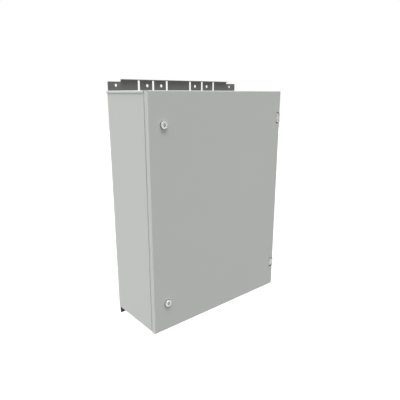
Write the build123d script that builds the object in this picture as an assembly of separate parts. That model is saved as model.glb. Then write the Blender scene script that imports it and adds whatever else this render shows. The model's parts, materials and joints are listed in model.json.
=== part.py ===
"""Wall-mounted telecom cabinet: a folded steel enclosure 600 x 800 x 250 mm, with a hinged front door.

The cabinet hangs on two slotted brackets, one above and one below, that bolt to a wall or are strapped
to a mast.

Frame, in millimetres: the origin is in the wall plane, at the centre of the brackets' outer bolt holes.
+X is to the right for someone who faces the door, +Y goes into the wall and +Z is up.
"""

from build123d import *
import os

# Cabinet
cabinet_width = 600.0
cabinet_height = 800.0
door_face_to_back = 246.0
body_sheet = 1.5
fold_inner_radius = 0.5

# Folded front frame, with the collar that the door's seal closes on
frame_width = 32.0
frame_corner_radius = 4.0

# Roof cap
roof_sheet = 1.5
roof_fold_inner_radius = 1.8
roof_lip_height = 7.5
roof_overhang = 2.5

# Door
door_sheet = 2.0
door_flange_depth = 17.0
door_gap = 4.0
door_fold_radius = 2.8
door_relief_radius = 1.5
door_relief_depth = 6.0
door_seam = 0.8
seal_width = 10.0
seal_thickness = 6.0
seal_gap = 0.3
seal_corner_radius = 10.0
seal_crown_radius = 2.5

# Perforated stiffening rails on the inside of the door
rail_width = 25.0
rail_depth = 12.0
rail_sheet = 1.5
rail_inset = 75.0
rail_end_margin = 35.0
rail_hole_size = 4.5
rail_hole_pitch = 25.0

# Hinges
hinge_height_offset = 300.0
hinge_axis_depth = 2.7
knuckle_radius = 3.7
knuckle_height = 9.6
middle_knuckle_radius = 2.5
middle_knuckle_height = 10.4
knuckle_end_gap = 0.3
hinge_pin_radius = 1.5
hinge_pin_head_radius = 2.6
hinge_pin_head_height = 1.0
running_clearance = 0.05
hinge_notch_width = 20.5
hinge_notch_margin = 5.5
hinge_flange_clearance = 0.3
hinge_arm_width = 14.5
hinge_arm_round = 1.5
hinge_neck_height = 6.0
hinge_base_width = 26.0
hinge_base_thickness = 3.0
hinge_leaf_thickness = 3.0
hinge_leaf_clearance = 1.0
hinge_leaf_outer_width = 14.0
hinge_screw_spacing = 18.0
hinge_screw_inset = 20.0

# Quarter-turn locks
lock_inset = 54.0
lock_height_offset = 299.0
lock_head_radius = 12.0
lock_head_height = 6.0
lock_head_round = 1.4
lock_body_radius = 9.8
lock_hole_clearance = 0.2
lock_seal_thickness = 1.0
lock_seal_margin = 0.8
lock_nut_across_flats = 24.0
lock_nut_thickness = 5.0
insert_head_radius = 8.0
insert_head_height = 4.0
insert_stem_radius = 5.5
insert_face_recess = 0.8
key_recess_radius = 4.6
key_recess_depth = 7.0
key_pin_radius = 1.7
key_wing_width = 3.2
key_wing_span = 13.0
key_wing_depth = 2.4
key_pin_recess = 1.0
cam_length = 38.0
cam_width = 16.0
cam_hub_radius = 10.0
cam_thickness = 2.5
cam_square = 7.0
cam_tip_round = 4.0
cam_screw_face_radius = 6.3
cam_screw_head_height = 2.0
cam_gap = 1.0
cam_end_play = 0.3

# Mounting plate for the equipment
plate_margin = 5.0
plate_thickness = 2.5
plate_corner_radius = 5.0
plate_standoff = 25.0
plate_stud_inset = 20.0
plate_spacer_radius = 7.0

# Cable entry in the bottom
entry_width = 400.0
entry_depth = 120.0
entry_corner_radius = 6.0
entry_border = 15.0
entry_gasket_thickness = 2.0
entry_plate_thickness = 1.5

# Slotted mounting brackets
bracket_sheet = 3.0
bracket_length = 590.0
bracket_tab_length = 49.0
bracket_tab_rise = 30.0
bracket_middle_rise = 38.0
bracket_drop = 45.0
bracket_flange_depth = 11.0
bracket_corner_radius = 3.0
bracket_slot_width = 9.5
bracket_slot_first = 55.0
bracket_slot_spacing = 60.0
bracket_slot_drop = 10.0
bracket_tab_hole_radius = 5.0
bracket_tab_hole_inset = 30.0
bracket_hole_radius = 5.5
bracket_hole_offsets = (80.0, 140.0)
bracket_hole_rise = 18.0
bracket_screw_inset = 47.0
bracket_screw_drop = 25.0

# Fasteners, as nominal thread radii with their heads and nuts
m5_radius = 2.5
m5_head_radius = 4.6
m5_nut_across_flats = 8.0
m5_nut_thickness = 4.0
m6_radius = 3.0
m6_head_radius = 5.8
m6_nut_across_flats = 10.0
m6_nut_thickness = 5.0
m8_radius = 4.0
m8_nut_across_flats = 13.0
m8_nut_thickness = 6.5
washer_thickness = 1.6
seal_washer_thickness = 2.0
thread_clearance = 0.05
hole_clearance = 0.4
thread_end = 2.5

# Planes that the parts share, worked out from the sizes above
half_width = cabinet_width / 2
half_height = cabinet_height / 2
back_y = -bracket_sheet
back_inner_y = back_y - body_sheet
door_face_y = back_y - door_face_to_back
door_inner_y = door_face_y + door_sheet
door_rear_y = door_face_y + door_flange_depth
body_front_y = door_rear_y + door_gap
frame_rear_y = body_front_y + body_sheet
seal_rear_y = door_inner_y + seal_thickness
collar_front_y = seal_rear_y + seal_gap
body_top_z = half_height - roof_sheet
floor_z = -half_height + body_sheet
opening_half_width = half_width - frame_width
opening_half_height = half_height - frame_width
fold_radius = fold_inner_radius + body_sheet
seal_line_inset = frame_width - body_sheet / 2
hinge_y = door_face_y + hinge_axis_depth
hinge_half_height = middle_knuckle_height / 2 + knuckle_end_gap + knuckle_height
hinge_centres = {"upper": hinge_height_offset, "lower": -hinge_height_offset}
lock_x = -half_width + lock_inset
lock_seat_y = door_face_y - lock_seal_thickness
lock_front_y = lock_seat_y - lock_head_height
lock_centres = {"upper": lock_height_offset, "lower": -lock_height_offset}
cam_front_y = frame_rear_y + cam_gap
cam_rear_y = cam_front_y + cam_thickness

FRONT = (0, -1, 0)
REAR = (0, 1, 0)
UP = (0, 0, 1)
DOWN = (0, 0, -1)


def slab(x0, x1, y0, y1, z0, z1):
    """A block between two opposite corners."""
    middle = Pos((x0 + x1) / 2, (y0 + y1) / 2, (z0 + z1) / 2)
    return middle * Box(x1 - x0, y1 - y0, z1 - z0)


def facing(point, direction):
    """The place of a shape that is drawn on its local XY plane and grows along direction."""
    return Plane(origin=point, x_dir=(1, 0, 0), z_dir=direction).location


def upright(outline, y_front, y_rear):
    """An outline drawn in X and Z, extruded from y_front to y_rear."""
    plane = Plane(origin=(0, y_rear, 0), x_dir=(1, 0, 0), z_dir=FRONT)
    return extrude(plane * outline, y_rear - y_front)


def level(outline, z_low, z_high):
    """An outline drawn in X and Y, extruded from z_low to z_high."""
    return extrude(Pos(0, 0, z_low) * outline, z_high - z_low)


def rod(radius, length):
    """A round bar from the local XY plane upwards."""
    return Cylinder(radius, length, align=(Align.CENTER, Align.CENTER, Align.MIN))


def ring(outer_radius, inner_radius, thickness):
    """A washer from the local XY plane upwards."""
    return extrude(Circle(outer_radius) - Circle(inner_radius), thickness)


def nut(across_flats, thread_radius, thickness):
    """A hexagon nut from the local XY plane upwards, with flats to the local X."""
    outline = Rot(0, 0, 30) * RegularPolygon(across_flats / 2, 6, major_radius=False)
    return extrude(outline - Circle(thread_radius + thread_clearance), thickness)


def countersunk_screw(head_radius, thread_radius, length):
    """A flush screw whose head lies in the local XY plane and whose thread grows upwards."""
    head = Cone(head_radius, thread_radius, head_radius - thread_radius,
                align=(Align.CENTER, Align.CENTER, Align.MIN))
    return head + rod(thread_radius, length)


def countersink(head_radius, thread_radius, depth):
    """The hole that such a screw needs in a sheet of the given depth."""
    wide = head_radius + hole_clearance
    narrow = thread_radius + hole_clearance
    cone = Cone(wide, narrow, wide - narrow, align=(Align.CENTER, Align.CENTER, Align.MIN))
    return cone + rod(narrow, depth)


def hexagon_screw(across_flats, head_height, thread_radius, length):
    """A hexagon screw whose head lies under the local XY plane and whose thread grows upwards."""
    head = Pos(0, 0, -head_height) * extrude(
        RegularPolygon(across_flats / 2, 6, major_radius=False), head_height)
    return head + rod(thread_radius, length)


def group(shapes):
    """Separate solids that share one file."""
    solids = []
    for shape in shapes:
        solids.extend(shape.solids())
    return Compound(children=solids)


# Body


def body_shell():
    """The box of folded sheet, with a return frame round its mouth and a collar that faces the door."""
    outside = slab(-half_width, half_width, body_front_y, back_y, -half_height, body_top_z)
    outside = fillet(outside.edges(), fold_radius)
    inside = slab(-half_width + body_sheet, half_width - body_sheet, frame_rear_y, back_inner_y,
                  floor_z, body_top_z - body_sheet)
    inside = fillet(inside.edges(), fold_inner_radius)
    mouth = RectangleRounded(2 * opening_half_width, 2 * opening_half_height, frame_corner_radius)
    collar = RectangleRounded(2 * (opening_half_width + body_sheet), 2 * (opening_half_height + body_sheet),
                              frame_corner_radius + body_sheet)
    shell = outside - inside
    shell += upright(collar, collar_front_y, frame_rear_y)
    shell -= upright(mouth, collar_front_y, frame_rear_y)
    shell -= level(entry_outline(0), -half_height, floor_z)
    for x, z in bracket_screw_places():
        shell -= facing((x, back_y, z), FRONT) * rod(m6_radius + hole_clearance, body_sheet)
    for x, z in hinge_screw_places():
        hole = rod(m5_radius + hole_clearance, body_sheet)
        shell -= facing((x, body_front_y, z), REAR) * hole
    for x, y in entry_screw_places():
        shell -= facing((x, y, -half_height), UP) * rod(m5_radius + hole_clearance, body_sheet)
    return shell


def roof_cap():
    """The welded top sheet, whose side lips hang clear of the walls and shed rain."""
    reach = half_width + roof_overhang
    cap = slab(-reach, reach, body_front_y, back_y, half_height - roof_lip_height, half_height)
    cap = fillet(cap.edges().filter_by(Axis.Y).group_by(Axis.Z)[-1], roof_fold_inner_radius + roof_sheet)
    room = slab(-reach + roof_sheet, reach - roof_sheet, body_front_y, back_y,
                half_height - roof_lip_height, body_top_z)
    room = fillet(room.edges().filter_by(Axis.Y).group_by(Axis.Z)[-1], roof_fold_inner_radius)
    return cap - room


# Door


def door_panel():
    """A folded pan: reliefs at its corners, notches for the hinges and holes for the locks."""
    pan = slab(-half_width, half_width, door_face_y, door_rear_y, -half_height, half_height)
    pan = fillet(pan.faces().sort_by(Axis.Y)[0].edges(), door_fold_radius)
    room = slab(-half_width + door_sheet, half_width - door_sheet, door_inner_y, door_rear_y,
                -half_height + door_sheet, half_height - door_sheet)
    room = fillet(room.faces().sort_by(Axis.Y)[0].edges(), door_fold_radius - door_sheet)
    pan -= room
    for side in (-1, 1):
        for end in (-1, 1):
            pan -= corner_relief(side, end)
    for z in hinge_centres.values():
        pan -= hinge_notch(z)
    for z in lock_centres.values():
        hole = rod(lock_body_radius + lock_hole_clearance, door_sheet)
        pan -= facing((lock_x, door_face_y, z), REAR) * hole
    return pan


def corner_relief(side, end):
    """The relief hole where two folds meet, and the open seam between the two flanges behind it."""
    x = side * (half_width - door_sheet)
    z = end * (half_height - door_sheet)
    hole = facing((x, door_face_y, z), REAR) * rod(door_relief_radius, door_relief_depth)
    seam = slab(min(x, x - side * door_seam), max(x, x - side * door_seam), door_face_y + door_fold_radius,
                door_rear_y, min(z, z + end * door_sheet), max(z, z + end * door_sheet))
    return hole + seam


def hinge_notch(z):
    """The cut that a hinge stands in: tall in the door's face, and just clear of the hinge in its flange."""
    flange_x = half_width - door_sheet
    face_half = hinge_half_height + hinge_notch_margin
    flange_half = hinge_half_height + hinge_pin_head_height + hinge_flange_clearance
    notch = slab(half_width - hinge_notch_width, flange_x, door_face_y, door_rear_y,
                 z - face_half, z + face_half)
    notch += slab(flange_x, half_width + knuckle_radius, door_face_y, door_rear_y,
                  z - flange_half, z + flange_half)
    return notch


def door_seal():
    """A foamed seal with a crowned back, laid in a loop opposite the body's collar."""
    outer = seal_outline(seal_line_inset - seal_width / 2, seal_corner_radius)
    inner = seal_outline(seal_line_inset + seal_width / 2, seal_corner_radius / 2)
    seal = upright(outer - inner, door_inner_y, seal_rear_y)
    return fillet(seal.faces().sort_by(Axis.Y)[-1].edges(), seal_crown_radius)


def seal_outline(inset, corner_radius):
    return RectangleRounded(2 * (half_width - inset), 2 * (half_height - inset), corner_radius)


def door_rail(side):
    """A channel with a row of square holes, welded to the inside of the door beside its edge."""
    x = side * (half_width - rail_inset - rail_width / 2)
    reach = opening_half_height - rail_end_margin
    half = rail_width / 2
    web_y = door_inner_y + rail_depth
    rail = slab(x - half, x + half, door_inner_y, web_y, -reach, reach)
    rail = fillet(rail.edges().filter_by(Axis.Z).group_by(Axis.Y)[-1], rail_sheet)
    inner = half - rail_sheet
    rail -= slab(x - inner, x + inner, door_inner_y, web_y - rail_sheet, -reach, reach)
    hole = Box(rail_hole_size, 2 * rail_sheet, rail_hole_size)
    steps = int((reach - rail_hole_pitch / 2) / rail_hole_pitch)
    for step in range(-steps, steps + 1):
        rail -= Pos(x, web_y, step * rail_hole_pitch) * hole
    return rail


# Hinges


def hinge_screw_places():
    """X and Z of the screws that hold the hinges' fixed leaves to the body's frame."""
    x = half_width - hinge_screw_inset
    return [(x, z + end * hinge_screw_spacing / 2) for z in hinge_centres.values() for end in (-1, 1)]


def hinge_stud_places():
    """X and Z of the welded studs that hold the hinges' moving leaves to the door."""
    x = hinge_leaf_inner_x() + hinge_leaf_outer_width / 2
    rise = hinge_half_height + hinge_notch_margin + hinge_leaf_outer_width / 2
    return [(x, z + end * rise) for z in hinge_centres.values() for end in (-1, 1)]


def hinge_leaf_inner_x():
    return half_width - seal_line_inset + seal_width / 2 + hinge_leaf_clearance


def hinge_fixed_leaf(z):
    """A cast leaf on the body's frame: a base and two arms that carry the outer knuckles."""
    arm = Pos(half_width - hinge_arm_width / 2, (hinge_y + body_front_y) / 2) * Rectangle(
        hinge_arm_width, body_front_y - hinge_y)
    arm = fillet(arm.vertices().group_by(Axis.Y)[0].sort_by(Axis.X)[0], hinge_arm_round)
    arm += Pos(half_width, hinge_y) * Circle(knuckle_radius)
    leaf = level(arm, z - hinge_half_height, z + hinge_half_height)
    free = middle_knuckle_height / 2 + knuckle_end_gap
    leaf -= slab(half_width - hinge_arm_width, half_width + knuckle_radius, door_face_y - knuckle_radius,
                 hinge_y + middle_knuckle_radius + hinge_leaf_clearance, z - free, z + free)
    leaf += slab(half_width - hinge_base_width, half_width, body_front_y - hinge_base_thickness,
                 body_front_y, z - hinge_half_height, z + hinge_half_height)
    bore = rod(hinge_pin_radius + running_clearance, 2 * hinge_half_height)
    leaf -= facing((half_width, hinge_y, z - hinge_half_height), UP) * bore
    for x, screw_z in hinge_screw_places():
        if abs(screw_z - z) < hinge_half_height:
            sink = countersink(m5_head_radius, m5_radius, hinge_base_thickness)
            leaf -= facing((x, body_front_y - hinge_base_thickness, screw_z), REAR) * sink
    return leaf


def hinge_moving_leaf(z):
    """A cast leaf on the inside of the door, with the knuckle that turns on the pin."""
    inner_x = hinge_leaf_inner_x()
    rear_y = door_inner_y + hinge_leaf_thickness
    notch_x = half_width - hinge_notch_width
    notch_half = hinge_half_height + hinge_notch_margin
    reach = notch_half + hinge_leaf_outer_width
    leaf = slab(inner_x, inner_x + hinge_leaf_outer_width, door_inner_y, rear_y, z - reach, z + reach)
    leaf -= slab(notch_x, half_width, door_inner_y, rear_y, z - notch_half, z + notch_half)
    half = middle_knuckle_height / 2
    block_x = half_width - hinge_arm_width
    neck = slab(inner_x, block_x, door_inner_y, rear_y, z - hinge_neck_height / 2, z + hinge_neck_height / 2)
    neck += slab(block_x, half_width, door_inner_y, rear_y, z - half, z + half)
    knuckle = facing((half_width, hinge_y, z - half), UP) * rod(middle_knuckle_radius, 2 * half)
    bore = facing((half_width, hinge_y, z - half), UP) * rod(hinge_pin_radius + running_clearance, 2 * half)
    leaf = leaf + neck + knuckle - bore
    for x, stud_z in hinge_stud_places():
        if abs(stud_z - z) < reach:
            hole = rod(m5_radius + hole_clearance, hinge_leaf_thickness)
            leaf -= facing((x, door_inner_y, stud_z), REAR) * hole
    return leaf


def hinge_pin(z):
    """A steel pin through the three knuckles, held by its head."""
    low = z - hinge_half_height
    pin = rod(hinge_pin_radius, 2 * hinge_half_height)
    head = Pos(0, 0, 2 * hinge_half_height) * rod(hinge_pin_head_radius, hinge_pin_head_height)
    pin = pin + head
    pin = fillet(pin.edges().sort_by(Axis.Z)[-1], hinge_pin_head_height / 2)
    return facing((half_width, hinge_y, low), UP) * pin


def hinge_frame_screws():
    grip = hinge_base_thickness + body_sheet
    screw = countersunk_screw(m5_head_radius, m5_radius, grip + m5_nut_thickness + thread_end)
    front = body_front_y - hinge_base_thickness
    return group([facing((x, front, z), REAR) * screw for x, z in hinge_screw_places()])


def hinge_frame_nuts():
    piece = nut(m5_nut_across_flats, m5_radius, m5_nut_thickness)
    return group([facing((x, frame_rear_y, z), REAR) * piece for x, z in hinge_screw_places()])


def hinge_door_studs():
    stud = rod(m5_radius, hinge_leaf_thickness + m5_nut_thickness + thread_end)
    return group([facing((x, door_inner_y, z), REAR) * stud for x, z in hinge_stud_places()])


def hinge_door_nuts():
    piece = nut(m5_nut_across_flats, m5_radius, m5_nut_thickness)
    seat = door_inner_y + hinge_leaf_thickness
    return group([facing((x, seat, z), REAR) * piece for x, z in hinge_stud_places()])


# Locks


def lock_housing(z):
    """A turned housing: a rounded head on the door's face and a threaded barrel through the door."""
    head = rod(lock_head_radius, lock_head_height)
    head = fillet(head.edges().sort_by(Axis.Z)[-1], lock_head_round)
    body = facing((lock_x, lock_seat_y, z), FRONT) * head
    barrel_rear = cam_front_y - cam_end_play
    body += facing((lock_x, lock_seat_y, z), REAR) * rod(lock_body_radius, barrel_rear - lock_seat_y)
    seat = insert_face_recess + insert_head_height
    body -= facing((lock_x, lock_front_y, z), REAR) * rod(insert_head_radius + running_clearance, seat)
    bore = rod(insert_stem_radius + running_clearance, barrel_rear - lock_front_y)
    return body - facing((lock_x, lock_front_y, z), REAR) * bore


def lock_seal(z):
    """A flat rubber ring between the lock's head and the door."""
    outer_radius = lock_head_radius + lock_seal_margin
    piece = ring(outer_radius, lock_body_radius + lock_hole_clearance, lock_seal_thickness)
    return facing((lock_x, door_face_y, z), FRONT) * piece


def lock_insert(z):
    """The rotor: a round head with a winged key recess, a stem, and a square that drives the cam."""
    front = lock_front_y + insert_face_recess
    length = cam_front_y - front
    rotor = rod(insert_head_radius, insert_head_height) + rod(insert_stem_radius, length)
    square = extrude(Pos(0, 0, length) * Rectangle(cam_square, cam_square), cam_thickness)
    recess = rod(key_recess_radius, key_recess_depth)
    recess += extrude(Rectangle(key_wing_width, key_wing_span), key_wing_depth)
    tip = Pos(0, 0, key_pin_recess) * rod(key_pin_radius, key_recess_depth - key_pin_recess)
    rotor = rotor + square - recess + tip
    thread = Pos(0, 0, length + cam_thickness - m5_nut_thickness) * rod(
        m5_radius + thread_clearance, m5_nut_thickness)
    return facing((lock_x, front, z), REAR) * (rotor - thread)


def lock_nut(z):
    piece = nut(lock_nut_across_flats, lock_body_radius, lock_nut_thickness)
    return facing((lock_x, door_inner_y, z), REAR) * piece


def lock_cam(z):
    """A flat cam that hangs down when unlocked and turns a quarter turn behind the body's frame."""
    outline = Circle(cam_hub_radius)
    outline += Pos(0, -cam_length / 2) * Rectangle(cam_width, cam_length)
    outline -= Rectangle(cam_square + 2 * thread_clearance, cam_square + 2 * thread_clearance)
    plane = Plane(origin=(lock_x, cam_rear_y, z), x_dir=(1, 0, 0), z_dir=FRONT)
    cam = extrude(plane * outline, cam_thickness)
    return fillet(cam.edges().filter_by(Axis.Y).group_by(Axis.Z)[0], cam_tip_round)


def cam_screw(z):
    """The screw and its washer-faced head, which keep the cam on its square."""
    face = rod(cam_screw_face_radius, washer_thickness)
    head = Pos(0, 0, washer_thickness) * extrude(
        RegularPolygon(m5_nut_across_flats / 2, 6, major_radius=False), cam_screw_head_height)
    thread = Pos(0, 0, -m5_nut_thickness) * rod(m5_radius, m5_nut_thickness)
    return facing((lock_x, cam_rear_y, z), REAR) * (face + head + thread)


# Inside the body


def plate_stud_places():
    """X and Z of the four studs that carry the mounting plate."""
    x = opening_half_width - plate_margin - plate_stud_inset
    z = opening_half_height - plate_margin - plate_stud_inset
    return [(side * x, end * z) for side in (-1, 1) for end in (-1, 1)]


def mounting_plate():
    """The galvanised plate that the equipment is screwed to."""
    width = 2 * (opening_half_width - plate_margin)
    height = 2 * (opening_half_height - plate_margin)
    outline = RectangleRounded(width, height, plate_corner_radius)
    rear = back_inner_y - plate_standoff
    plate = upright(outline, rear - plate_thickness, rear)
    for x, z in plate_stud_places():
        plate -= facing((x, rear, z), FRONT) * rod(m8_radius + hole_clearance, plate_thickness)
    return plate


def plate_studs():
    """Shouldered studs welded to the back."""
    grip = plate_thickness + washer_thickness + m8_nut_thickness + thread_end
    stud = rod(plate_spacer_radius, plate_standoff) + rod(m8_radius, plate_standoff + grip)
    return group([facing((x, back_inner_y, z), FRONT) * stud for x, z in plate_stud_places()])


def plate_washers():
    piece = ring(2 * m8_radius, m8_radius + hole_clearance, washer_thickness)
    seat = back_inner_y - plate_standoff - plate_thickness
    return group([facing((x, seat, z), FRONT) * piece for x, z in plate_stud_places()])


def plate_nuts():
    piece = nut(m8_nut_across_flats, m8_radius, m8_nut_thickness)
    seat = back_inner_y - plate_standoff - plate_thickness - washer_thickness
    return group([facing((x, seat, z), FRONT) * piece for x, z in plate_stud_places()])


def body_earth_places():
    """X and Z of the earth stud on the back, between the mounting plate and the floor."""
    return [(0.0, -(opening_half_height + half_height - plate_margin - body_sheet) / 2)]


def door_earth_places():
    """X and Z of the earth stud on the inside of the door."""
    return [(0.0, -(opening_half_height - rail_end_margin))]


def earth_stud(point, direction):
    length = 2 * washer_thickness + m8_nut_thickness + 2 * thread_end
    return facing(point, direction) * rod(m8_radius, length)


def earth_nut(point, direction):
    piece = ring(2 * m8_radius, m8_radius + thread_clearance, washer_thickness)
    piece += Pos(0, 0, washer_thickness) * nut(m8_nut_across_flats, m8_radius, m8_nut_thickness)
    return facing(point, direction) * piece


# Cable entry


def entry_centre_y():
    return (body_front_y + back_y) / 2


def entry_outline(border):
    """The cable cut-out in the bottom, or what covers it with a border all round."""
    return Pos(0, entry_centre_y()) * RectangleRounded(
        entry_width + 2 * border, entry_depth + 2 * border, entry_corner_radius)


def entry_screw_places():
    """X and Y of the screws round the cable entry."""
    x = (entry_width + entry_border) / 2
    y = (entry_depth + entry_border) / 2
    corners = [(side * x, entry_centre_y() + end * y) for side in (-1, 1) for end in (-1, 1)]
    return corners + [(0.0, entry_centre_y() + end * y) for end in (-1, 1)]


def entry_gasket():
    outline = entry_outline(entry_border) - entry_outline(0)
    for x, y in entry_screw_places():
        outline -= Pos(x, y) * Circle(m5_radius + hole_clearance)
    return level(outline, -half_height - entry_gasket_thickness, -half_height)


def entry_plate():
    """The blank plate that the installer drills for cable glands."""
    outline = entry_outline(entry_border)
    for x, y in entry_screw_places():
        outline -= Pos(x, y) * Circle(m5_radius + hole_clearance)
    top = -half_height - entry_gasket_thickness
    return level(outline, top - entry_plate_thickness, top)


def entry_screws():
    grip = entry_plate_thickness + entry_gasket_thickness + body_sheet
    length = grip + m5_nut_thickness + thread_end
    screw = hexagon_screw(m5_nut_across_flats, m5_nut_thickness, m5_radius, length)
    under = -half_height - entry_gasket_thickness - entry_plate_thickness
    return group([facing((x, y, under), UP) * screw for x, y in entry_screw_places()])


def entry_nuts():
    piece = nut(m5_nut_across_flats, m5_radius, m5_nut_thickness)
    return group([facing((x, y, floor_z), UP) * piece for x, y in entry_screw_places()])


# Brackets


def bracket_screw_places():
    """X and Z of the screws that join the brackets to the back."""
    x = bracket_length / 2 - bracket_screw_inset
    z = half_height - bracket_screw_drop
    return [(side * x, end * z) for end in (1, -1) for side in (-1, 1)]


def bracket_hole_places():
    """X and radius of the holes on the right half of a bracket."""
    tab_hole_x = bracket_length / 2 - bracket_tab_hole_inset
    return [(x, bracket_hole_radius) for x in bracket_hole_offsets] + [(tab_hole_x, bracket_tab_hole_radius)]


def wall_bracket(end):
    """A slotted bracket: tabs at its ends, and a middle whose edge is folded forward over the cabinet.

    end is 1 for the bracket above the cabinet and -1 for its mirror image below.
    """
    tab_z = half_height + bracket_tab_rise
    top_z = half_height + bracket_middle_rise
    low_z = half_height - bracket_drop
    half = bracket_length / 2
    middle = half - bracket_tab_length
    bracket = slab(-half, half, back_y, 0, low_z, tab_z)
    bracket = fillet(bracket.edges().filter_by(Axis.Y), bracket_corner_radius)
    bracket += slab(-middle, middle, back_y, 0, low_z, top_z)
    bracket += slab(-middle, middle, -bracket_flange_depth, 0, top_z - bracket_sheet, top_z)
    bend = bracket.edges().filter_by(Axis.X).group_by(Axis.Z)[-1].sort_by(Axis.Y)[-1]
    bracket = fillet(bend, bracket_sheet)
    slot_low = half_height - bracket_slot_drop
    for step in range(3):
        for side in (-1, 1):
            x = side * (bracket_slot_first + step * bracket_slot_spacing)
            bracket -= slab(x - bracket_slot_width / 2, x + bracket_slot_width / 2, back_y, 0,
                            slot_low, top_z - bracket_sheet)
    for x, radius in bracket_hole_places():
        for side in (-1, 1):
            place = (side * x, 0, half_height + bracket_hole_rise)
            bracket -= facing(place, FRONT) * rod(radius, bracket_sheet)
    for x, z in bracket_screw_places():
        if z > 0:
            bracket -= facing((x, 0, z), FRONT) * countersink(m6_head_radius, m6_radius, bracket_sheet)
    if end < 0:
        bracket = bracket.mirror(Plane.XY)
    return bracket


def bracket_screws():
    grip = bracket_sheet + body_sheet + seal_washer_thickness
    screw = countersunk_screw(m6_head_radius, m6_radius, grip + m6_nut_thickness + thread_end)
    return group([facing((x, 0, z), FRONT) * screw for x, z in bracket_screw_places()])


def bracket_seals():
    piece = ring(3 * m6_radius, m6_radius + thread_clearance, seal_washer_thickness)
    return group([facing((x, back_inner_y, z), FRONT) * piece for x, z in bracket_screw_places()])


def bracket_nuts():
    piece = nut(m6_nut_across_flats, m6_radius, m6_nut_thickness)
    seat = back_inner_y - seal_washer_thickness
    return group([facing((x, seat, z), FRONT) * piece for x, z in bracket_screw_places()])


def cabinet():
    """Every piece of the cabinet, by name."""
    pieces = {
        "body_shell": body_shell(),
        "roof_cap": roof_cap(),
        "top_bracket": wall_bracket(1),
        "bottom_bracket": wall_bracket(-1),
        "bracket_screws": bracket_screws(),
        "bracket_seals": bracket_seals(),
        "bracket_nuts": bracket_nuts(),
        "mounting_plate": mounting_plate(),
        "plate_studs": plate_studs(),
        "plate_washers": plate_washers(),
        "plate_nuts": plate_nuts(),
        "entry_gasket": entry_gasket(),
        "entry_plate": entry_plate(),
        "entry_screws": entry_screws(),
        "entry_nuts": entry_nuts(),
        "hinge_frame_screws": hinge_frame_screws(),
        "hinge_frame_nuts": hinge_frame_nuts(),
        "door_panel": door_panel(),
        "door_seal": door_seal(),
        "left_door_rail": door_rail(-1),
        "right_door_rail": door_rail(1),
        "hinge_door_studs": hinge_door_studs(),
        "hinge_door_nuts": hinge_door_nuts(),
    }
    for x, z in body_earth_places():
        pieces["body_earth_stud"] = earth_stud((x, back_inner_y, z), FRONT)
        pieces["body_earth_nut"] = earth_nut((x, back_inner_y, z), FRONT)
    for x, z in door_earth_places():
        pieces["door_earth_stud"] = earth_stud((x, door_inner_y, z), REAR)
        pieces["door_earth_nut"] = earth_nut((x, door_inner_y, z), REAR)
    for name, z in hinge_centres.items():
        pieces[name + "_hinge_fixed_leaf"] = hinge_fixed_leaf(z)
        pieces[name + "_hinge_moving_leaf"] = hinge_moving_leaf(z)
        pieces[name + "_hinge_pin"] = hinge_pin(z)
    for name, z in lock_centres.items():
        pieces[name + "_lock_housing"] = lock_housing(z)
        pieces[name + "_lock_seal"] = lock_seal(z)
        pieces[name + "_lock_nut"] = lock_nut(z)
        pieces[name + "_lock_insert"] = lock_insert(z)
        pieces[name + "_lock_cam"] = lock_cam(z)
        pieces[name + "_cam_screw"] = cam_screw(z)
    return pieces


os.makedirs("parts", exist_ok=True)
for node, shape in cabinet().items():
    export_step(shape, "parts/" + node + ".step")
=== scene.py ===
"""Wall-mounted telecom cabinet, dressed for a studio picture.

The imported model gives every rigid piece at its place, in metres, with +X to the right of the door,
+Y into the wall and +Z up. This script adds finishes, the fine detail of fasteners and seals, lights,
a floor and the camera.
"""

import json
import math

import bpy
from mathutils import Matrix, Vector

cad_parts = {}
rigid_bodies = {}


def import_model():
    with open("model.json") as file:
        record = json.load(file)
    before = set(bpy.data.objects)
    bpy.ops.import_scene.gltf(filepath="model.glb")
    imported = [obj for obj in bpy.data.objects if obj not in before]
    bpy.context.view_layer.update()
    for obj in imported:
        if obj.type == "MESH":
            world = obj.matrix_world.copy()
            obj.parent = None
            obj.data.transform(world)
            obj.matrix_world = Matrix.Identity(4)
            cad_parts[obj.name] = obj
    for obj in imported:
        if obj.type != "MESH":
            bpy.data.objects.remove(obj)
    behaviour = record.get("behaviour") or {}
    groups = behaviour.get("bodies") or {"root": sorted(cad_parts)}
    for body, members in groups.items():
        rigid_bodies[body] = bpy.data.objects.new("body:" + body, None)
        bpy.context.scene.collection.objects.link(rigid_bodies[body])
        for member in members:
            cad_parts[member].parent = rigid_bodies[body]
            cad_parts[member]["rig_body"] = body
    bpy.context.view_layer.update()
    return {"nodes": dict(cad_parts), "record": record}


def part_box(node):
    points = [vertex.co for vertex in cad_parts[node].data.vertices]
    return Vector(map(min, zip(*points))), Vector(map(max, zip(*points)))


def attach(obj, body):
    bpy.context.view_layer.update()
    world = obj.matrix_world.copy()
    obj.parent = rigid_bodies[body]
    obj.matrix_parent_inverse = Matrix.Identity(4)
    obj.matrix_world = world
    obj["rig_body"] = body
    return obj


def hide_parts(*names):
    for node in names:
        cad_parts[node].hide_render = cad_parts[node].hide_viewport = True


# Camera, from the solved view of the photograph
CAMERA_PLACE = (-0.9417, -1.2538, 0.3908)
CAMERA_YAW = math.radians(39.902)
CAMERA_PITCH = math.radians(15.022)
IMAGE_WIDTH = 400
FOCAL_PIXELS = 396.6
SENSOR_WIDTH = 36.0
NEAREST_SEEN = 0.01
FARTHEST_SEEN = 200.0

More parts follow.
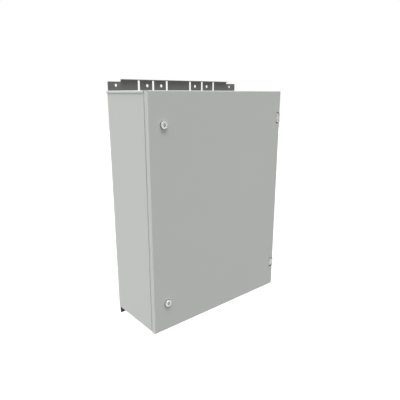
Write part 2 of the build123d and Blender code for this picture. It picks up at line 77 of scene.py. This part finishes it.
# Light
OVERHEAD_TOWARDS = (0.0, 0.38, -1.0)
OVERHEAD_STRENGTH = 0.72
OVERHEAD_SPREAD = math.radians(30)
LEFT_TOWARDS = (0.55, 0.0, -1.0)
LEFT_STRENGTH = 0.42
LEFT_SPREAD = math.radians(40)
SKY_LEFT = 1.60
SKY_FRONT = 0.47
SKY_RIGHT = 0.30
SKY_FAR_RIGHT = 0.85
SKY_RIGHT_PLACE = 0.6
SKY_TOP_SHARE = 0.22
SKY_BAND = (0.2, 0.85)
FLOOR_HEIGHT = -2.7
FLOOR_SIZE = 60.0
FLOOR_SEEN = (0.97, 0.97, 0.97, 1.0)
FLOOR_BOUNCE = (0.14, 0.14, 0.14, 1.0)

# Finishes, as linear colours
PAINT = (0.604, 0.624, 0.597, 1.0)
# Bracket grey: the bracket's own dark paint, made darker still as painted shade over the whole bracket,
# for the shade under its top flange
BRACKET_GREY_AND_SHADE = (0.148, 0.148, 0.146, 1.0)
CAST_ZINC = (0.52, 0.52, 0.51, 1.0)
NICKEL = (0.56, 0.56, 0.545, 1.0)
GALVANISED = (0.50, 0.515, 0.525, 1.0)
PLATED = (0.52, 0.52, 0.51, 1.0)
FOAM = (0.020, 0.020, 0.021, 1.0)
# Rubber, also for the lock seals, whose dark rings partly stand in as painted shade round the lock heads
RUBBER = (0.15, 0.15, 0.15, 1.0)

# Powder coat: cells a metre, the swing of its roughness, and its relief in metres
COAT_CLOUDS = 2.5
COAT_SWING = 0.05
COAT_RELIEF = 0.00012
COAT_BUMP = 0.25

# Bare metal: its darkest and lightest tone, the swing of its roughness, and how strong its relief is
METAL_TONES = (0.93, 1.05)
METAL_SWING = (-0.06, 0.08)
METAL_BUMP = 0.35
CLOUDS_PER_GRAIN = 1 / 8

# Galvanised sheet: crystals and grain in cells a metre, tones, roughness, and relief in metres
SPANGLE_CELLS = 110.0
SPANGLE_GRAIN = 900.0
SPANGLE_TONES = (0.88, 1.10)
SPANGLE_ROUGHNESS = (0.36, 0.52)
SPANGLE_RELIEF = 0.00005
SPANGLE_BUMP = 0.25
SPANGLE_METALLIC = 0.85

# Foam and rubber: tones, roughness, and how strong the relief and the gloss are
SEAL_TONES = (0.7, 1.5)
SEAL_ROUGHNESS = (0.62, 0.82)
SEAL_BUMP = 0.6
SEAL_GLOSS = 0.3

# Directions
FRONT = (0.0, -1.0, 0.0)
REAR = (0.0, 1.0, 0.0)
UP = (0.0, 0.0, 1.0)

# How finely shapes are drawn and read
THREAD_SIDES = 24
HEXAGON_SIDES = 36
ROUND_SIDES = 72
ROUND_STEPS = 8
CHAMFER_STEPS = 6
SHARP_ANGLE = math.radians(34)
SAME_PLACE_DIGITS = 6

# Threads, as nominal radius and pitch in metres, with their depth as a share of the pitch
M5_THREAD = (0.0025, 0.0008)
M6_THREAD = (0.003, 0.001)
M8_THREAD = (0.004, 0.00125)
BARREL_THREAD = (0.0098, 0.0015)
RINGS_PER_PITCH = 6
THREAD_DEPTH = 0.6
THREAD_FLANK = 1.5
THREAD_CREST = 0.25
THREAD_CLEARANCE = 0.00005
THREAD_START = 0.0003
WELD_HEIGHT = 0.0004

# Heads, nuts and washers, in metres
M5_FLATS = 0.008
M5_HEAD_HEIGHT = 0.004
M5_SUNK_RADIUS = 0.0046
M5_SOCKET = 0.003
M6_FLATS = 0.010
M6_SUNK_RADIUS = 0.0058
M6_SOCKET = 0.004
M8_FLATS = 0.013
WASHER_THICKNESS = 0.0016
HOLE_CLEARANCE = 0.0004
CAM_FACE_RADIUS = 0.0063
SPACER_RADIUS = 0.007
SPACER_LENGTH = 0.025
SPACER_EDGE = 0.0006
BRACKET_SEAL_EDGE = 0.0005
SHANK_CHAMFER = 0.0005
FACE_HEIGHT = 0.0003
FINE_EDGE = 0.0002
EDGE_SOFTNESS = 0.3
FACE_SHARE = 0.475
CHAMFER_SHARE = 0.013
CHAMFER_ANGLE = math.pi / 6
SOCKET_MOUTH = 1.1
SOCKET_DEPTH = 0.55
SOCKET_FLOOR = 0.001

# Lock housing, in metres
LOCK_NUT_FLATS = 0.024
BARREL_START = 0.0004
LOCK_HEAD_RADIUS = 0.012
LOCK_HEAD_HEIGHT = 0.006
LOCK_HEAD_ROUND = 0.0014
LOCK_RECESS_RADIUS = 0.00805
LOCK_RECESS_DEPTH = 0.0048
LOCK_BORE_RADIUS = 0.00555
LOCK_SEAL_RADIUS = 0.0128
LOCK_SEAL_BORE = 0.010
LOCK_SEAL_EDGE = 0.0003

# Foamed bead, in metres or as shares of its width, height and length; waves as counts and starts
BEAD_WIDTH = 0.010
BEAD_OUTER_CORNER = 0.010
BEAD_INNER_CORNER = 0.005
BEAD_SIDE_STEPS = 130
BEAD_ARC_STEPS = 14
BEAD_SQUARENESS = 0.62
BEAD_HALF_WIDTH = 0.475
BEAD_SETTLED = 0.955
BEAD_RIPPLES = ((37, 0.8), (23, 2.1), (61, 0.0))
BEAD_DRIFTS = ((19, 1.3), (31, 0.0))
BEAD_WAVE = 0.004
BEAD_JOIN_PLACE = 0.36
BEAD_JOIN_LENGTH = 0.004
BEAD_JOIN_HEIGHT = 0.98
BEAD_JOIN_SPREAD = 0.02

# Entry gasket, in metres, with its edge as shares of its width and thickness
GASKET_WIDTH = 0.015
GASKET_CORNER = 0.006
GASKET_SIDE_STEPS = 40
GASKET_EDGE = ((0.0, 1.0), (0.97, 1.0), (0.99, 0.8), (1.0, 0.5), (0.99, 0.2), (0.97, 0.0), (0.0, 0.0))


def new_material(name):
    """A material with its node tree, its principled shader and a source of place in metres."""
    material = bpy.data.materials.new(name)
    material.use_nodes = True
    nodes = material.node_tree.nodes
    shader = nodes["Principled BSDF"]
    place = nodes.new("ShaderNodeTexCoord").outputs["Object"]
    return material, shader, place


def noise(material, place, scale, detail=3.0, roughness=0.55):
    """Noise over the surface, scale in cells a metre."""
    node = material.node_tree.nodes.new("ShaderNodeTexNoise")
    node.inputs["Scale"].default_value = scale
    node.inputs["Detail"].default_value = detail
    node.inputs["Roughness"].default_value = roughness
    material.node_tree.links.new(place, node.inputs["Vector"])
    return node.outputs["Fac"]


def ramp(material, value, low, high):
    """The value, from 0 to 1, spread between two colours."""
    node = material.node_tree.nodes.new("ShaderNodeMix")
    node.data_type = "RGBA"
    node.inputs["A"].default_value = low
    node.inputs["B"].default_value = high
    material.node_tree.links.new(value, node.inputs["Factor"])
    return node.outputs["Result"]


def spread(material, value, low, high):
    """The value, from 0 to 1, mapped between two numbers."""
    node = material.node_tree.nodes.new("ShaderNodeMapRange")
    node.inputs["To Min"].default_value = low
    node.inputs["To Max"].default_value = high
    material.node_tree.links.new(value, node.inputs["Value"])
    return node.outputs["Result"]


def bump(material, shader, height, depth, strength):
    """Relief of the given depth, in metres, on the shader's normal."""
    node = material.node_tree.nodes.new("ShaderNodeBump")
    node.inputs["Distance"].default_value = depth
    node.inputs["Strength"].default_value = strength
    links = material.node_tree.links
    links.new(height, node.inputs["Height"])
    links.new(node.outputs["Normal"], shader.inputs["Normal"])


def shaded(colour, factor):
    """The colour made lighter or darker."""
    return (colour[0] * factor, colour[1] * factor, colour[2] * factor, 1.0)


def toned(material, value, colour, low, high):
    """The colour from its darkest tone to its lightest, as the value goes from 0 to 1."""
    return ramp(material, value, shaded(colour, low), shaded(colour, high))


def powder_coat(name, colour, roughness, grain, drift, gloss):
    """Powder coat: an even colour with a slow drift, over a fine grain."""
    material, shader, place = new_material(name)
    links = material.node_tree.links
    cloud = noise(material, place, COAT_CLOUDS)
    links.new(toned(material, cloud, colour, 1 - drift, 1 + drift), shader.inputs["Base Color"])
    fine = noise(material, place, grain, detail=2.0)
    gloss_map = spread(material, fine, roughness - COAT_SWING, roughness + COAT_SWING)
    links.new(gloss_map, shader.inputs["Roughness"])
    bump(material, shader, fine, COAT_RELIEF, COAT_BUMP)
    shader.inputs["Specular IOR Level"].default_value = gloss
    return material


def bare_metal(name, colour, roughness, grain, depth):
    """Cast or plated metal with a faint grain."""
    material, shader, place = new_material(name)
    links = material.node_tree.links
    cloud = noise(material, place, grain * CLOUDS_PER_GRAIN, detail=2.0)
    links.new(toned(material, cloud, colour, *METAL_TONES), shader.inputs["Base Color"])
    fine = noise(material, place, grain)
    low, high = METAL_SWING
    links.new(spread(material, fine, roughness + low, roughness + high), shader.inputs["Roughness"])
    bump(material, shader, fine, depth, METAL_BUMP)
    shader.inputs["Metallic"].default_value = 1.0
    return material


def spangled_zinc(name, colour):
    """Galvanised sheet: crystals of slightly different grey, each with its own gloss."""
    material, shader, place = new_material(name)
    nodes = material.node_tree.nodes
    links = material.node_tree.links
    cells = nodes.new("ShaderNodeTexVoronoi")
    cells.inputs["Scale"].default_value = SPANGLE_CELLS
    cells.inputs["Randomness"].default_value = 1.0
    links.new(place, cells.inputs["Vector"])
    tone = nodes.new("ShaderNodeSeparateColor")
    links.new(cells.outputs["Color"], tone.inputs["Color"])
    links.new(toned(material, tone.outputs["Red"], colour, *SPANGLE_TONES), shader.inputs["Base Color"])
    links.new(spread(material, tone.outputs["Green"], *SPANGLE_ROUGHNESS), shader.inputs["Roughness"])
    fine = noise(material, place, SPANGLE_GRAIN, detail=2.0)
    bump(material, shader, fine, SPANGLE_RELIEF, SPANGLE_BUMP)
    shader.inputs["Metallic"].default_value = SPANGLE_METALLIC
    return material


def soft_seal(name, colour, cell, depth):
    """Foam or rubber: matt, with a skin of fine cells."""
    material, shader, place = new_material(name)
    links = material.node_tree.links
    fine = noise(material, place, cell, detail=4.0, roughness=0.7)
    links.new(toned(material, fine, colour, *SEAL_TONES), shader.inputs["Base Color"])
    links.new(spread(material, fine, *SEAL_ROUGHNESS), shader.inputs["Roughness"])
    bump(material, shader, fine, depth, SEAL_BUMP)
    shader.inputs["Specular IOR Level"].default_value = SEAL_GLOSS
    return material


def material_slots(frame):
    """The material slot of each node."""
    return {row["node"]: row["material_slot"] for row in frame["record"]["subparts"]}


def dress_frame(frame):
    """Gives each carried-over piece the finish of its slot."""
    finishes = {
        "cabinet_paint": powder_coat("cabinet_paint_finish", PAINT, roughness=0.58, grain=1100.0,
                                     drift=0.012, gloss=0.10),
        # The bracket's grey is its dark paint with painted shade over all of it
        "bracket_steel": powder_coat("bracket_steel_paint_and_shade", BRACKET_GREY_AND_SHADE, roughness=0.62, grain=1400.0,
                                     drift=0.04, gloss=0.12),
        "cast_zinc": bare_metal("cast_zinc_finish", CAST_ZINC, roughness=0.42, grain=900.0,
                                depth=0.00006),
        "lock_nickel": bare_metal("lock_nickel_finish", NICKEL, roughness=0.34, grain=1500.0,
                                  depth=0.00002),
        "galvanised_steel": spangled_zinc("galvanised_finish", GALVANISED),
        "plated_steel": bare_metal("plated_finish", PLATED, roughness=0.30, grain=1200.0, depth=0.00003),
        "seal_foam": soft_seal("seal_foam_finish", FOAM, cell=1500.0, depth=0.0003),
        "seal_rubber": soft_seal("seal_rubber_finish", RUBBER, cell=2500.0, depth=0.0001),
    }
    slots = material_slots(frame)
    for node, thing in frame["nodes"].items():
        thing.data.materials.clear()
        thing.data.materials.append(finishes[slots[node]])


def separate_boxes(thing):
    """The lowest and highest corner of each separate solid in a node."""
    places = {}
    joined = []
    number = []

    def first(i):
        while joined[i] != i:
            joined[i] = joined[joined[i]]
            i = joined[i]
        return i

    for vertex in thing.data.vertices:
        key = tuple(round(part, SAME_PLACE_DIGITS) for part in vertex.co)
        if key not in places:
            places[key] = len(joined)
            joined.append(len(joined))
        number.append(places[key])
    for face in thing.data.polygons:
        for corner in face.vertices:
            joined[first(number[corner])] = first(number[face.vertices[0]])
    boxes = {}
    for vertex, i in zip(thing.data.vertices, number):
        low, high = boxes.setdefault(first(i), (Vector(vertex.co), Vector(vertex.co)))
        for axis in range(3):
            low[axis] = min(low[axis], vertex.co[axis])
            high[axis] = max(high[axis], vertex.co[axis])
    return list(boxes.values())


def turned(height, radius, sides=THREAD_SIDES):
    """Points round the local Z axis; the radius is a number or depends on the angle."""
    points = []
    for step in range(sides):
        angle = 2 * math.pi * step / sides
        reach = radius(angle) if callable(radius) else radius
        points.append((reach * math.cos(angle), reach * math.sin(angle), height))
    return points


def turned_all(profile, sides=THREAD_SIDES):
    """Rings for a profile of heights and radii."""
    return [turned(height, radius, sides) for height, radius in profile]


def hexagon(flats, turn=0.0, limit=math.inf):
    """The radius of a hexagon at an angle, with a corner at the angle turn, kept inside a circle."""
    def radius(angle):
        part = (angle - turn) % (math.pi / 3) - math.pi / 6
        return min(flats / 2 / math.cos(part), limit)
    return radius


def hexagon_rings(flats, low, high, turn=0.0, low_chamfer=True, high_chamfer=True):
    """Rings of a hexagon whose corners are turned off at 30 degrees at its ends."""
    outlines = []
    for step in range(CHAMFER_STEPS):
        inset = CHAMFER_SHARE * flats * step
        limit = FACE_SHARE * flats + inset / math.tan(CHAMFER_ANGLE)
        outlines.append((inset, hexagon(flats, turn, limit)))
    plain = [(0.0, hexagon(flats, turn))]
    rings = [turned(low + inset, outline, HEXAGON_SIDES)
             for inset, outline in (outlines if low_chamfer else plain)]
    rings += [turned(high - inset, outline, HEXAGON_SIDES)
              for inset, outline in reversed(outlines if high_chamfer else plain)]
    return rings


def threaded(low, high, thread, sides=THREAD_SIDES):
    """Rings of a right-hand thread from low to high, with a chamfered end."""
    nominal, pitch = thread
    depth = THREAD_DEPTH * pitch
    count = max(2, math.ceil((high - low) / pitch * RINGS_PER_PITCH))
    rings = []
    for step in range(count + 1):
        height = low + (high - low) * step / count
        limit = nominal - depth + high - height

        def reach(angle, height=height, limit=limit):
            wave = abs((height / pitch - angle / (2 * math.pi)) % 1 * 2 - 1)
            ridge = depth * min(max(THREAD_FLANK * wave - THREAD_CREST, 0.0), 1.0)
            return min(nominal - depth + ridge, limit)

        rings.append(turned(height, reach, sides))
    return rings


def stack(rings, closed=False):
    """Points and faces of rings joined in turn: a solid with flat ends, or a loop without ends."""
    sides = len(rings[0])
    points = [point for ring in rings for point in ring]
    faces = []
    for row in range(len(rings) if closed else len(rings) - 1):
        low = row * sides
        high = (row + 1) % len(rings) * sides
        for step in range(sides):
            after = (step + 1) % sides
            faces.append((low + step, low + after, high + after, high + step))
    if not closed:
        faces.append(tuple(range(sides - 1, -1, -1)))
        faces.append(tuple(range(len(points) - sides, len(points))))
    return points, faces


def placed(shape, origin, towards):
    """A shape moved from its local frame, whose Z axis becomes towards and whose X axis stays."""
    ahead = Vector(towards)
    across = Vector((1.0, 0.0, 0.0))
    beside = ahead.cross(across)
    start = Vector(origin)
    points, faces = shape
    return [start + across * x + beside * y + ahead * z for x, y, z in points], faces


def stand_in(frame, node, shapes):
    """One object out of several shapes, which replaces a node, rides with it and has its finish."""
    points = []
    faces = []
    for shape_points, shape_faces in shapes:
        offset = len(points)
        points.extend(shape_points)
        faces.extend([tuple(corner + offset for corner in face) for face in shape_faces])
    mesh = bpy.data.meshes.new(node + "_detail")
    mesh.from_pydata(points, [], faces)
    mesh.shade_smooth()
    mesh.set_sharp_from_angle(angle=SHARP_ANGLE)
    thing = frame["nodes"][node]
    mesh.materials.append(thing.data.materials[0])
    piece = bpy.data.objects.new(node + "_detail", mesh)
    bpy.context.scene.collection.objects.link(piece)
    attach(piece, thing["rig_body"])
    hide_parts(node)
    return piece


def repeated(frame, node, towards, make):
    """Each of a node's solids again, drawn along its own axis; make turns a length into shapes."""
    axis = max(range(3), key=lambda i: abs(towards[i]))
    shapes = []
    for low, high in separate_boxes(frame["nodes"][node]):
        origin = (low + high) / 2
        origin[axis] = low[axis] if towards[axis] > 0 else high[axis]
        shapes += [placed(shape, origin, towards) for shape in make(high[axis] - low[axis])]
    stand_in(frame, node, shapes)


def sunk_screw(head, socket, thread):
    """A countersunk screw with a hexagon socket in its head."""
    neck = head - thread[0]
    floor = SOCKET_DEPTH * neck + SOCKET_FLOOR
    wall = hexagon(socket)
    mouth = hexagon(SOCKET_MOUTH * socket)
    rings = turned_all([(floor, FINE_EDGE), (floor, wall), (FINE_EDGE, wall), (0.0, mouth),
                        (0.0, head - FINE_EDGE), (FINE_EDGE, head - FINE_EDGE / 2), (neck, thread[0])])

    def make(length):
        return [stack(rings + threaded(neck + THREAD_START, length, thread))]
    return make


def stud(thread):
    """A welded stud, threaded up to its foot."""
    def make(length):
        return [stack([turned(0.0, thread[0])] + threaded(WELD_HEIGHT, length, thread))]
    return make


def spacer_stud(length):
    """A stud of the mounting plate: a turned spacer below a thread."""
    rings = turned_all([(0.0, SPACER_RADIUS), (SPACER_LENGTH - SPACER_EDGE, SPACER_RADIUS),
                        (SPACER_LENGTH, SPACER_RADIUS - SPACER_EDGE), (SPACER_LENGTH, M8_THREAD[0])])
    return [stack(rings + threaded(SPACER_LENGTH + THREAD_START, length, M8_THREAD))]


def nut(flats, thread, washer=0.0):
    """A nut with countersunk thread ends, on a fused washer of the given thickness if there is one."""
    bore = thread[0] + THREAD_CLEARANCE
    lead = thread[1] / 2

    def make(length):
        outer = hexagon_rings(flats, washer, length, math.pi / 6, low_chamfer=not washer)
        inner = turned_all([(length, bore + lead), (length - lead, bore), (washer + lead, bore),
                            (washer, bore + lead)], HEXAGON_SIDES)
        shapes = [stack(outer + inner, closed=True)]
        if washer:
            shapes += round_edged(2 * thread[0], bore, FINE_EDGE)(washer)
        return shapes
    return make


def round_edged(outer, inner, edge):
    """A flat ring whose outer edges are rounded."""
    def make(thickness):
        soft = EDGE_SOFTNESS * edge
        profile = [(0.0, inner), (0.0, outer - edge), (soft, outer - soft), (edge, outer),
                   (thickness - edge, outer), (thickness - soft, outer - soft), (thickness, outer - edge),
                   (thickness, inner)]
        return [stack(turned_all(profile, ROUND_SIDES), closed=True)]
    return make


def entry_screw(length):
    """A hexagon screw with a washer face, as seen from below the cabinet."""
    face = FACE_SHARE * M5_FLATS
    top = M5_HEAD_HEIGHT
    head = hexagon_rings(M5_FLATS, 0.0, top - FACE_HEIGHT, high_chamfer=False)
    head += turned_all([(top - FACE_HEIGHT, face), (top, face)], HEXAGON_SIDES)
    shank = [turned(top, M5_THREAD[0])] + threaded(top + THREAD_START, length, M5_THREAD)
    return [stack(head), stack(shank)]


def cam_fixing(length):
    """The screw that holds a cam: a shank in the lock's square, a washer face and a head."""
    seat = M5_HEAD_HEIGHT
    rim = seat + WASHER_THICKNESS
    nominal = M5_THREAD[0]
    shank = turned_all([(0.0, nominal - SHANK_CHAMFER), (SHANK_CHAMFER, nominal), (seat, nominal)])
    face = turned_all([(seat, CAM_FACE_RADIUS), (rim - FACE_HEIGHT, CAM_FACE_RADIUS),
                       (rim, CAM_FACE_RADIUS - FACE_HEIGHT)], HEXAGON_SIDES)
    head = hexagon_rings(M5_FLATS, rim, length, low_chamfer=False)
    return [stack(shank), stack(face), stack(head)]


def lock_housing(length):
    """A lock's rounded head and the thread of its barrel, which its nut runs on."""
    head = LOCK_HEAD_RADIUS
    corner = LOCK_HEAD_ROUND
    profile = [(0.0, LOCK_RECESS_RADIUS + FINE_EDGE)]
    for step in range(ROUND_STEPS + 1):
        angle = math.pi / 2 * step / ROUND_STEPS
        profile.append((corner * (1 - math.cos(angle)), head - corner * (1 - math.sin(angle))))
    profile += [(LOCK_HEAD_HEIGHT, head), (LOCK_HEAD_HEIGHT, BARREL_THREAD[0])]
    bore = [(length, LOCK_BORE_RADIUS), (LOCK_RECESS_DEPTH, LOCK_BORE_RADIUS),
            (LOCK_RECESS_DEPTH, LOCK_RECESS_RADIUS), (FINE_EDGE, LOCK_RECESS_RADIUS)]
    rings = turned_all(profile, ROUND_SIDES)
    rings += threaded(LOCK_HEAD_HEIGHT + BARREL_START, length, BARREL_THREAD, ROUND_SIDES)
    rings += turned_all(bore, ROUND_SIDES)
    return [stack(rings, closed=True)]


def rounded_outline(half_x, half_y, corner, side_steps):
    """Points round a rectangle with rounded corners, against the clock from the first quarter."""
    arcs = []
    for quarter, (x, y) in enumerate([(1, 1), (-1, 1), (-1, -1), (1, -1)]):
        centre = Vector((x * (half_x - corner), y * (half_y - corner)))
        arc = []
        for step in range(ROUND_STEPS + 1):
            angle = math.pi / 2 * (quarter + step / ROUND_STEPS)
            arc.append(centre + corner * Vector((math.cos(angle), math.sin(angle))))
        arcs.append(arc)
    points = []
    for arc, after in zip(arcs, arcs[1:] + arcs[:1]):
        points += arc
        points += [arc[-1].lerp(after[0], step / side_steps) for step in range(1, side_steps)]
    return points


def loop_seal(outer, inner, section):
    """A seal between two outlines; section gives its across and height at a share of the way round."""
    rings = []
    for number, (far, near) in enumerate(zip(outer, inner)):
        ring = []
        for across, height in section(number / len(outer)):
            spot = near.lerp(far, across)
            ring.append((spot.x, spot.y, height))
        rings.append(ring)
    return stack(rings, closed=True)


def waves(share, parts):
    """Sine waves added up at a share of the way round, each with its count and its start."""
    turn = 2 * math.pi * share
    return sum(math.sin(count * turn + start) for count, start in parts)


def bead_section(full_height):
    """A foamed bead: crowned, a little uneven, and thicker where its ends run together."""
    def section(share):
        ripple = BEAD_WAVE * waves(share, BEAD_RIPPLES)
        drift = BEAD_WAVE * waves(share, BEAD_DRIFTS)
        lump = math.exp(-((share - BEAD_JOIN_PLACE) / BEAD_JOIN_LENGTH) ** 2)
        height = full_height * (BEAD_SETTLED + ripple + (BEAD_JOIN_HEIGHT - BEAD_SETTLED) * lump)
        points = []
        for step in range(BEAD_ARC_STEPS + 1):
            angle = math.pi * (1 - step / BEAD_ARC_STEPS)
            side = math.copysign(abs(math.cos(angle)) ** BEAD_SQUARENESS, math.cos(angle))
            across = 0.5 + (BEAD_HALF_WIDTH + BEAD_JOIN_SPREAD * lump) * side + drift
            points.append((across, height * abs(math.sin(angle)) ** BEAD_SQUARENESS))
        return points
    return section


def foam_seal(frame):
    """The door's foamed seal."""
    low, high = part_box("door_seal")
    half_x = (high.x - low.x) / 2
    half_z = (high.z - low.z) / 2
    outer = rounded_outline(half_x, half_z, BEAD_OUTER_CORNER, BEAD_SIDE_STEPS)
    inner = rounded_outline(half_x - BEAD_WIDTH, half_z - BEAD_WIDTH, BEAD_INNER_CORNER,
                            BEAD_SIDE_STEPS)
    shape = loop_seal(outer, inner, bead_section(high.y - low.y))
    origin = ((low.x + high.x) / 2, low.y, (low.z + high.z) / 2)
    seal = stand_in(frame, "door_seal", [placed(shape, origin, REAR)])


def entry_gasket(frame):
    """The cut rubber gasket of the cable entry, whose squeezed edge stands out a little."""
    low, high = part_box("entry_gasket")
    half_x = (high.x - low.x) / 2
    half_y = (high.y - low.y) / 2
    thick = high.z - low.z
    outer = rounded_outline(half_x, half_y, GASKET_CORNER, GASKET_SIDE_STEPS)
    inner = rounded_outline(half_x - GASKET_WIDTH, half_y - GASKET_WIDTH, GASKET_CORNER,
                            GASKET_SIDE_STEPS)
    profile = [(across, height * thick) for across, height in GASKET_EDGE]
    shape = loop_seal(outer, inner, lambda share: profile)
    origin = ((low.x + high.x) / 2, (low.y + high.y) / 2, low.z)
    stand_in(frame, "entry_gasket", [placed(shape, origin, UP)])


def fit_details(frame):
    """Threads, sockets, chamfers and seals, each in the place of its plain solid."""
    washer = round_edged(2 * M8_THREAD[0], M8_THREAD[0] + HOLE_CLEARANCE, FINE_EDGE)
    rubber = round_edged(3 * M6_THREAD[0], M6_THREAD[0] + THREAD_CLEARANCE, BRACKET_SEAL_EDGE)
    repeated(frame, "hinge_frame_screws", REAR, sunk_screw(M5_SUNK_RADIUS, M5_SOCKET, M5_THREAD))
    repeated(frame, "hinge_frame_nuts", REAR, nut(M5_FLATS, M5_THREAD))
    repeated(frame, "hinge_door_studs", REAR, stud(M5_THREAD))
    repeated(frame, "hinge_door_nuts", REAR, nut(M5_FLATS, M5_THREAD))
    repeated(frame, "bracket_screws", FRONT, sunk_screw(M6_SUNK_RADIUS, M6_SOCKET, M6_THREAD))
    repeated(frame, "bracket_nuts", FRONT, nut(M6_FLATS, M6_THREAD))
    repeated(frame, "bracket_seals", FRONT, rubber)
    repeated(frame, "plate_studs", FRONT, spacer_stud)
    repeated(frame, "plate_washers", FRONT, washer)
    repeated(frame, "plate_nuts", FRONT, nut(M8_FLATS, M8_THREAD))
    for name, towards in (("body", FRONT), ("door", REAR)):
        repeated(frame, name + "_earth_stud", towards, stud(M8_THREAD))
        repeated(frame, name + "_earth_nut", towards, nut(M8_FLATS, M8_THREAD, WASHER_THICKNESS))
    repeated(frame, "entry_screws", UP, entry_screw)
    repeated(frame, "entry_nuts", UP, nut(M5_FLATS, M5_THREAD))
    # Each lock seal is a dark rubber ring under the lock head; the ring also stands in as painted shade
    # round each head
    ring = round_edged(LOCK_SEAL_RADIUS, LOCK_SEAL_BORE, LOCK_SEAL_EDGE)
    for name in ("upper", "lower"):
        repeated(frame, name + "_lock_housing", REAR, lock_housing)
        repeated(frame, name + "_lock_nut", REAR, nut(LOCK_NUT_FLATS, BARREL_THREAD))
        repeated(frame, name + "_lock_seal", FRONT, ring)
        repeated(frame, name + "_cam_screw", REAR, cam_fixing)
    foam_seal(frame)
    entry_gasket(frame)


def make_camera():
    """The photograph's viewpoint: level, turned to the right and tipped down."""
    data = bpy.data.cameras.new("camera")
    data.sensor_width = SENSOR_WIDTH
    data.lens = SENSOR_WIDTH * FOCAL_PIXELS / IMAGE_WIDTH
    data.clip_start = NEAREST_SEEN
    data.clip_end = FARTHEST_SEEN
    camera = bpy.data.objects.new("camera", data)
    ahead = Vector((math.sin(CAMERA_YAW) * math.cos(CAMERA_PITCH),
                    math.cos(CAMERA_YAW) * math.cos(CAMERA_PITCH),
                    -math.sin(CAMERA_PITCH)))
    camera.location = CAMERA_PLACE
    camera.rotation_mode = "QUATERNION"
    camera.rotation_quaternion = ahead.to_track_quat("-Z", "Y")
    bpy.context.scene.collection.objects.link(camera)
    bpy.context.scene.camera = camera


def make_sun(name, towards, strength, spread):
    """A soft lamp far away. Its strength is the light on a surface that faces it, where white is 1."""
    data = bpy.data.lights.new(name, "SUN")
    data.energy = strength * math.pi
    data.angle = spread
    sun = bpy.data.objects.new(name, data)
    sun.rotation_mode = "QUATERNION"
    sun.rotation_quaternion = Vector(towards).to_track_quat("-Z", "Y")
    bpy.context.scene.collection.objects.link(sun)


def mapped(nodes, links, value, from_low, from_high, to_low, to_high):
    """The value mapped from one range to another, and held at the ends."""
    node = nodes.new("ShaderNodeMapRange")
    node.inputs["From Min"].default_value = from_low
    node.inputs["From Max"].default_value = from_high
    node.inputs["To Min"].default_value = to_low
    node.inputs["To Max"].default_value = to_high
    links.new(value, node.inputs["Value"])
    return node.outputs["Result"]


def combined(nodes, links, operation, first, second):
    """Two values joined by one operation."""
    node = nodes.new("ShaderNodeMath")
    node.operation = operation
    links.new(first, node.inputs[0])
    links.new(second, node.inputs[1])
    return node.outputs["Value"]


def seen_directly(nodes, links):
    """1 for what the camera sees, directly or in gloss or glass, and 0 for light on a surface."""
    rays = nodes.new("ShaderNodeLightPath")
    seen = combined(nodes, links, "MAXIMUM", rays.outputs["Is Camera Ray"], rays.outputs["Is Glossy Ray"])
    return combined(nodes, links, "MAXIMUM", seen, rays.outputs["Is Transmission Ray"])


def make_sky():
    """Soft light, strongest on the left and low down, that looks plain white where it is seen."""
    world = bpy.data.worlds.new("sky")
    world.use_nodes = True
    nodes = world.node_tree.nodes
    links = world.node_tree.links
    nodes.clear()
    axes = nodes.new("ShaderNodeSeparateXYZ")
    links.new(nodes.new("ShaderNodeTexCoord").outputs["Generated"], axes.inputs["Vector"])
    left = mapped(nodes, links, axes.outputs["X"], -1.0, 0.0, SKY_LEFT, SKY_FRONT)
    right = mapped(nodes, links, axes.outputs["X"], 0.0, SKY_RIGHT_PLACE, SKY_FRONT, SKY_RIGHT)
    rise = SKY_FAR_RIGHT - SKY_RIGHT
    far_right = mapped(nodes, links, axes.outputs["X"], SKY_RIGHT_PLACE, 1.0, 0.0, rise)
    side = combined(nodes, links, "ADD", left, right)
    side = combined(nodes, links, "ADD", side, far_right)
    height = mapped(nodes, links, axes.outputs["Z"], *SKY_BAND, 1.0, SKY_TOP_SHARE)
    level = nodes.new("ShaderNodeMath")
    level.operation = "SUBTRACT"
    level.inputs[1].default_value = SKY_FRONT
    links.new(side, level.inputs[0])
    glow = combined(nodes, links, "MULTIPLY", level.outputs["Value"], height)
    strength = nodes.new("ShaderNodeMix")
    strength.data_type = "FLOAT"
    strength.inputs["B"].default_value = 1.0
    links.new(seen_directly(nodes, links), strength.inputs["Factor"])
    links.new(glow, strength.inputs["A"])
    light = nodes.new("ShaderNodeBackground")
    light.inputs["Color"].default_value = (1.0, 1.0, 1.0, 1.0)
    links.new(strength.outputs["Result"], light.inputs["Strength"])
    out = nodes.new("ShaderNodeOutputWorld")
    links.new(light.outputs["Background"], out.inputs["Surface"])
    bpy.context.scene.world = world


def make_floor():
    """A pale floor far below the hung cabinet, which throws back less light than it seems to."""
    half = FLOOR_SIZE / 2
    mesh = bpy.data.meshes.new("floor")
    corners = [(-half, -half, FLOOR_HEIGHT), (half, -half, FLOOR_HEIGHT),
               (half, half, FLOOR_HEIGHT), (-half, half, FLOOR_HEIGHT)]
    mesh.from_pydata(corners, [], [(0, 1, 2, 3)])
    floor = bpy.data.objects.new("floor", mesh)
    bpy.context.scene.collection.objects.link(floor)
    material = bpy.data.materials.new("floor_finish")
    material.use_nodes = True
    nodes = material.node_tree.nodes
    links = material.node_tree.links
    shader = nodes["Principled BSDF"]
    shader.inputs["Roughness"].default_value = 1.0
    shader.inputs["Specular IOR Level"].default_value = 0.0
    seen = seen_directly(nodes, links)
    links.new(ramp(material, seen, FLOOR_BOUNCE, FLOOR_SEEN), shader.inputs["Base Color"])
    mesh.materials.append(material)


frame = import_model()
bpy.context.scene.view_settings.view_transform = "Standard"
make_camera()
make_sun("overhead_lamp", OVERHEAD_TOWARDS, OVERHEAD_STRENGTH, OVERHEAD_SPREAD)
make_sun("left_lamp", LEFT_TOWARDS, LEFT_STRENGTH, LEFT_SPREAD)
make_sky()
make_floor()
dress_frame(frame)
fit_details(frame)
